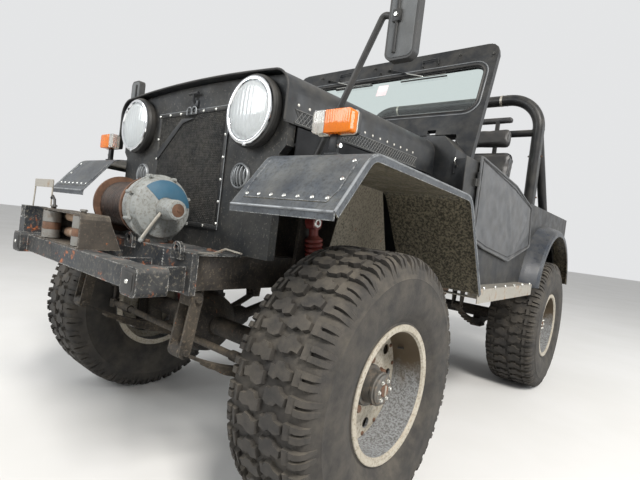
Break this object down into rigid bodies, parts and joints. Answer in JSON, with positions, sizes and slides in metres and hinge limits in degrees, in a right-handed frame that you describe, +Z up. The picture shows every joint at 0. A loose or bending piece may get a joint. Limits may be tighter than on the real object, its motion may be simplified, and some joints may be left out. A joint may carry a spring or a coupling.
{
  "type": "open four wheel drive utility car",
  "caption": "Open army pattern utility car with flat fenders, folding windshield, soft half doors, front winch, roll bar and wide mud tyres; it steers and rolls.",
  "frame": {"origin": "on the ground under the middle of the car's length and width", "axes": "+X to the car's left, +Y to its rear, +Z up"},
  "size_m": [1.654, 3.425, 1.9],
  "materials": {
    "amber_lens": "amber lens",
    "apron_paint": "light speckled grey paint",
    "black_paint": "worn satin black over steel",
    "black_plastic": "black plastic",
    "black_seat_vinyl": "black vinyl",
    "chassis_paint": "black chassis paint",
    "dark_rope": "dark greased wire rope",
    "dark_vinyl": "creased dark grey vinyl",
    "engine_iron": "oily iron",
    "exhaust_steel": "brown heat stained steel",
    "fender_paint": "dusty worn blue grey black",
    "flare_paint": "deep navy black gloss",
    "floor_paint": "dusty black paint",
    "lamp_black": "gloss black",
    "lamp_glass": "clear fluted glass",
    "mesh_black": "perforated black sheet",
    "radiator_black": "black core",
    "red_boot_rubber": "red ribbed rubber boot",
    "roll_bar_paint": "satin black tube",
    "rusty_bumper_paint": "chipped black paint with rust",
    "rusty_iron": "rust brown iron",
    "spring_steel": "dusty black steel",
    "step_aluminium": "dull weathered aluminium",
    "tyre_rubber": "dusty black rubber",
    "wheel_paint": "light beige grey paint, sandy",
    "winch_grey": "light grey paint",
    "windshield_glass": "clear pane",
    "worn_roller_steel": "worn brown grey steel"
  },
  "bodies": {
    "car": {"axles": "chassis_paint", "body_sides": "black_paint", "cowl": "black_paint", "cross_members": "chassis_paint", "engine_bay_sides": "apron_paint", "exhaust": "exhaust_steel", "fairlead": "worn_roller_steel", "frame_rails": "chassis_paint", "front_bumper": "rusty_bumper_paint", "front_fenders": "fender_paint", "grille_mesh": "mesh_black", "headlamp_buckets": "lamp_black", "headlamp_lenses": "lamp_glass", "leaf_springs": "spring_steel", "mirrors": "black_plastic", "power_unit": "engine_iron", "propeller_shafts": "chassis_paint", "radiator": "radiator_black", "radiator_grille": "black_paint", "rear_bumper": "rusty_bumper_paint", "rear_flares": "flare_paint", "rear_panel": "black_paint", "receiver_clamp": "rusty_bumper_paint", "roll_bar": "roll_bar_paint", "seats": "black_seat_vinyl", "shock_absorbers": "red_boot_rubber", "shock_towers": "chassis_paint", "side_steps": "step_aluminium", "signal_lamps": "amber_lens", "steering_column": "black_plastic", "tub_floor": "floor_paint", "winch_housing": "winch_grey"},
    "knuckle_left": {"knuckle_left": "chassis_paint"},
    "knuckle_right": {"knuckle_right": "chassis_paint"},
    "tie_rod": {"tie_rod": "spring_steel"},
    "steering_wheel": {"steering_wheel": "black_plastic"},
    "hood": {"hood": "black_paint"},
    "windshield": {"windshield_frame": "black_paint", "windshield_glass": "windshield_glass"},
    "door_left": {"door_left": "dark_vinyl"},
    "door_right": {"door_right": "dark_vinyl"},
    "tailgate": {"tailgate": "black_paint"},
    "winch_drum": {"winch_drum": "rusty_iron", "winch_rope": "dark_rope"},
    "wheel_front_left": {"tyre_front_left": "tyre_rubber", "wheel_front_left": "wheel_paint"},
    "wheel_front_right": {"tyre_front_right": "tyre_rubber", "wheel_front_right": "wheel_paint"},
    "wheel_rear_left": {"tyre_rear_left": "tyre_rubber", "wheel_rear_left": "wheel_paint"},
    "wheel_rear_right": {"tyre_rear_right": "tyre_rubber", "wheel_rear_right": "wheel_paint"}
  },
  "joints": [
    {"name": "steer_left", "type": "hinge", "parent": "car", "child": "knuckle_left", "pos_m": [0.56, -1.0675, 0.415], "axis": [0, 0, 1], "range_deg": [-20, 20]},
    {"name": "steer_right", "type": "hinge", "parent": "car", "child": "knuckle_right", "pos_m": [-0.56, -1.0675, 0.415], "axis": [0, 0, 1], "range_deg": [-20, 20]},
    {"name": "tie_rod_pivot", "type": "hinge", "parent": "knuckle_left", "child": "tie_rod", "pos_m": [0.49, -1.3075, 0.438], "axis": [0, 0, 1], "range_deg": [-22.8, 22.8]},
    {"name": "steering_wheel_turn", "type": "hinge", "parent": "car", "child": "steering_wheel", "pos_m": [-0.35, -0.1325, 1.215], "axis": [0, 0.8852, 0.4651], "range_deg": [-320, 320]},
    {"name": "wheel_front_left_spin", "type": "hinge", "parent": "knuckle_left", "child": "wheel_front_left", "pos_m": [0.663, -1.0675, 0.415], "axis": [1, 0, 0], "continuous": true},
    {"name": "wheel_front_right_spin", "type": "hinge", "parent": "knuckle_right", "child": "wheel_front_right", "pos_m": [-0.663, -1.0675, 0.415], "axis": [1, 0, 0], "continuous": true},
    {"name": "wheel_rear_left_spin", "type": "hinge", "parent": "car", "child": "wheel_rear_left", "pos_m": [0.663, 0.9625, 0.415], "axis": [1, 0, 0], "continuous": true},
    {"name": "wheel_rear_right_spin", "type": "hinge", "parent": "car", "child": "wheel_rear_right", "pos_m": [-0.663, 0.9625, 0.415], "axis": [1, 0, 0], "continuous": true},
    {"name": "hood_hinge", "type": "hinge", "parent": "car", "child": "hood", "pos_m": [0, -0.4775, 1.345], "axis": [-1, 0, 0], "range_deg": [0, 75]},
    {"name": "windshield_fold", "type": "hinge", "parent": "car", "child": "windshield", "pos_m": [0, -0.287, 1.36], "axis": [-1, 0, 0], "range_deg": [-100, 0]},
    {"name": "door_left_hinge", "type": "hinge", "parent": "car", "child": "door_left", "pos_m": [0.713, -0.3955, 1.06], "axis": [0, 0, -1], "range_deg": [0, 75]},
    {"name": "door_right_hinge", "type": "hinge", "parent": "car", "child": "door_right", "pos_m": [-0.713, -0.3955, 1.06], "axis": [0, 0, 1], "range_deg": [0, 75]},
    {"name": "tailgate_hinge", "type": "hinge", "parent": "car", "child": "tailgate", "pos_m": [0, 1.6725, 0.782], "axis": [-1, 0, 0], "range_deg": [0, 90]},
    {"name": "winch_drum_turn", "type": "hinge", "parent": "car", "child": "winch_drum", "pos_m": [-0.0675, -1.4725, 0.875], "axis": [1, 0, 0], "continuous": true}
  ],
  "couplings": [
    {"joint": "steer_right", "follows": "steer_left", "ratio": 1},
    {"joint": "tie_rod_pivot", "follows": "steer_left", "ratio": -1.14},
    {"joint": "steering_wheel_turn", "follows": "steer_left", "ratio": 16}
  ]
}
